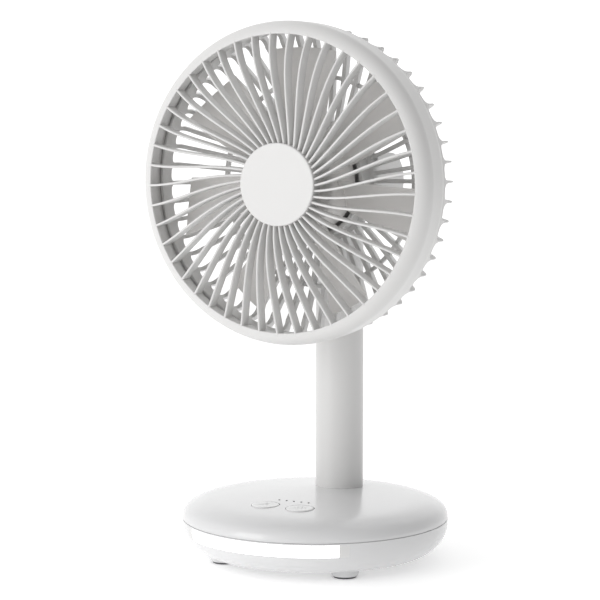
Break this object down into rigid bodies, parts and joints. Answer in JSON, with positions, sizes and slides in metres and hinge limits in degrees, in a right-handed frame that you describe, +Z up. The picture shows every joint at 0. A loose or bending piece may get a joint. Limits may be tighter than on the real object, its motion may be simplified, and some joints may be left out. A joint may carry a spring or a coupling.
{
  "type": "desk fan",
  "caption": "Cordless desk fan: caged fan head that tilts on a slim column, domed round base with push buttons and a front light strip.",
  "frame": {"origin": "on the table, under the centre of the round base", "axes": "+Z up; the fan blows towards -Y, the light strip and buttons face -Y; +X is to the right of a person who faces the front of the fan"},
  "size_m": [0.1722, 0.147, 0.2941],
  "materials": {
    "guard_white": "satin moulded ABS",
    "head_white": "satin moulded ABS",
    "blade_white": "satin moulded ABS",
    "column_white": "satin moulded ABS",
    "base_white": "gloss moulded ABS",
    "button_white": "satin moulded ABS",
    "inner_plastic": "moulded, unpolished",
    "light_strip": "frosted, lit from behind",
    "light_pipe": "clear moulded",
    "led_package": "silicone lens",
    "circuit_board": "solder mask",
    "dark_component": "moulded epoxy",
    "foot_rubber": "matte",
    "screw_steel": "zinc plated",
    "shaft_steel": "ground",
    "plated_shell": "nickel plated",
    "magnet_grey": "ferrite",
    "winding_copper": "enamelled copper",
    "bearing_bronze": "sintered bronze",
    "brush_carbon": "carbon",
    "ballast_steel": "plain",
    "cell_wrap": "shrink wrap",
    "lead_sheath": "smooth sheath"
  },
  "bodies": {
    "stand": {"base_upper_shell": "base_white", "base_lower_shell": "base_white", "light_diffuser": "light_strip", "light_board": "circuit_board", "light_leds": "led_package", "control_board": "circuit_board", "board_parts": "dark_component", "board_screws": "screw_steel", "button_switches": "dark_component", "indicator_lights": "light_pipe", "charging_board": "circuit_board", "charging_socket": "plated_shell", "battery_cell": "cell_wrap", "battery_tray": "inner_plastic", "ballast_plate": "ballast_steel", "base_screws": "screw_steel", "foot_pads": "foot_rubber", "column_tube": "column_white", "column_flange": "inner_plastic", "column_screws": "screw_steel", "column_lead": "lead_sheath", "column_knuckle": "column_white"},
    "head": {"front_guard": "guard_white", "centre_cap": "guard_white", "rear_guard": "guard_white", "motor_can": "plated_shell", "motor_magnets": "magnet_grey", "motor_end_cap": "inner_plastic", "motor_brushes": "brush_carbon", "motor_bushings": "bearing_bronze", "motor_screws": "screw_steel", "tilt_bracket": "head_white", "bracket_screws": "screw_steel", "hinge_pin": "screw_steel", "hinge_nut": "screw_steel", "hinge_washers": "screw_steel", "hinge_end_caps": "head_white"},
    "rotor": {"fan_blades": "blade_white", "motor_shaft": "shaft_steel", "armature_core": "shaft_steel", "armature_windings": "winding_copper", "commutator": "winding_copper"},
    "fan_button": {"fan_button": "button_white"},
    "light_button": {"light_button": "button_white"}
  },
  "joints": [
    {"name": "head_tilt", "type": "hinge", "parent": "stand", "child": "head", "pos_m": [0, 0.03, 0.208], "axis": [-1, 0, 0], "range_deg": [-5, 40]},
    {"name": "blade_spin", "type": "hinge", "parent": "head", "child": "rotor", "pos_m": [0, -0.018, 0.208], "axis": [0, -1, 0], "continuous": true},
    {"name": "fan_button_press", "type": "slide", "parent": "stand", "child": "fan_button", "axis": [0, 0, -1], "range_m": [0, 0.0006], "stiffness_N_per_m": 3000},
    {"name": "light_button_press", "type": "slide", "parent": "stand", "child": "light_button", "axis": [0, 0, -1], "range_m": [0, 0.0006], "stiffness_N_per_m": 3000}
  ]
}
